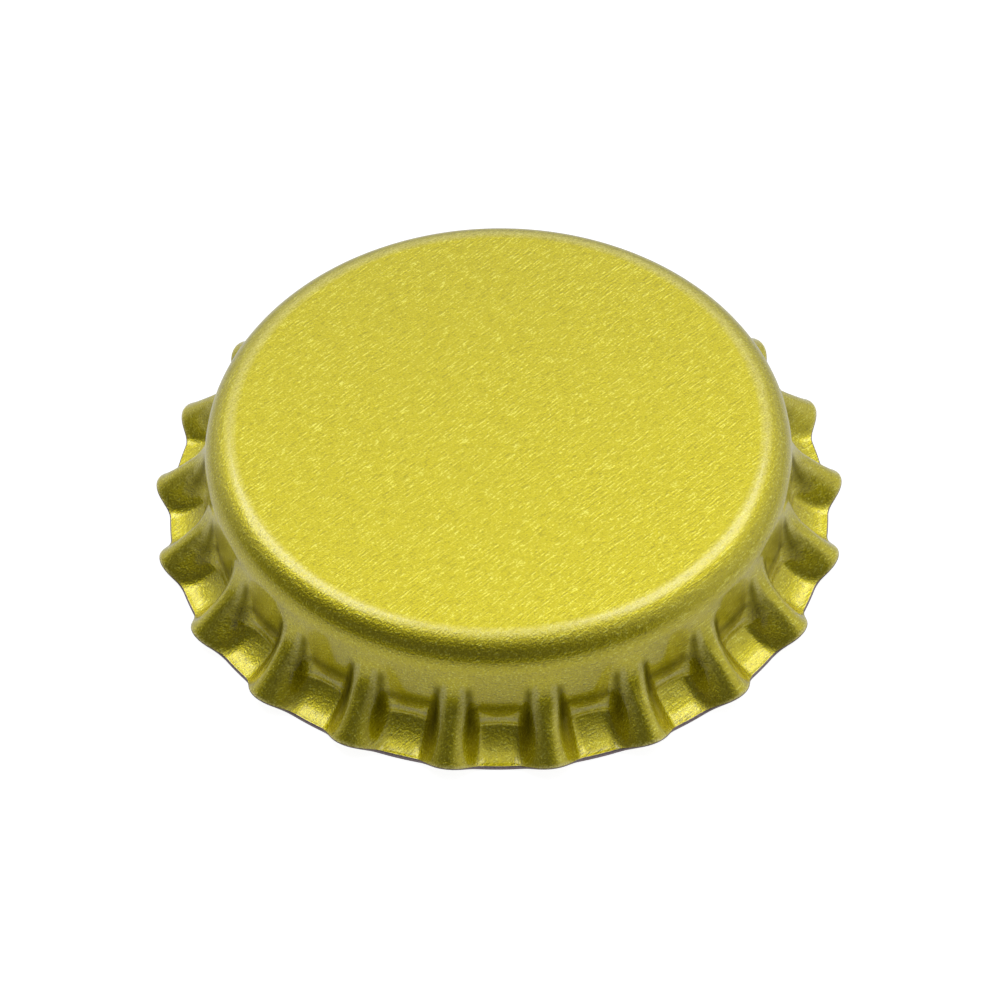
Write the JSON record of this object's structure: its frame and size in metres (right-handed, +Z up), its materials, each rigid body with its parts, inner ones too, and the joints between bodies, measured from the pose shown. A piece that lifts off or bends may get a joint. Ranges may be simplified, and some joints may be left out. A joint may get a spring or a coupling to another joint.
{
  "type": "bottle cap",
  "caption": "Round pry-off bottle cap: a gold-lacquered pressed sheet shell with a fluted, flared skirt and a moulded sealing liner under its panel.",
  "frame": {"origin": "on the cap's axis, at the lowest edge of the skirt", "axes": "+Z up the axis through the top panel; a valley between two flutes faces -Y"},
  "size_m": [0.0322, 0.032, 0.006],
  "materials": {
    "gold_lacquer": "satin gold lacquer on thin tinplate, fine diagonal rolling grain",
    "liner_plastic": "natural moulded polyethylene, slightly waxy"
  },
  "bodies": {
    "root": {"cap_shell": "gold_lacquer", "liner": "liner_plastic"}
  },
  "joints": []
}
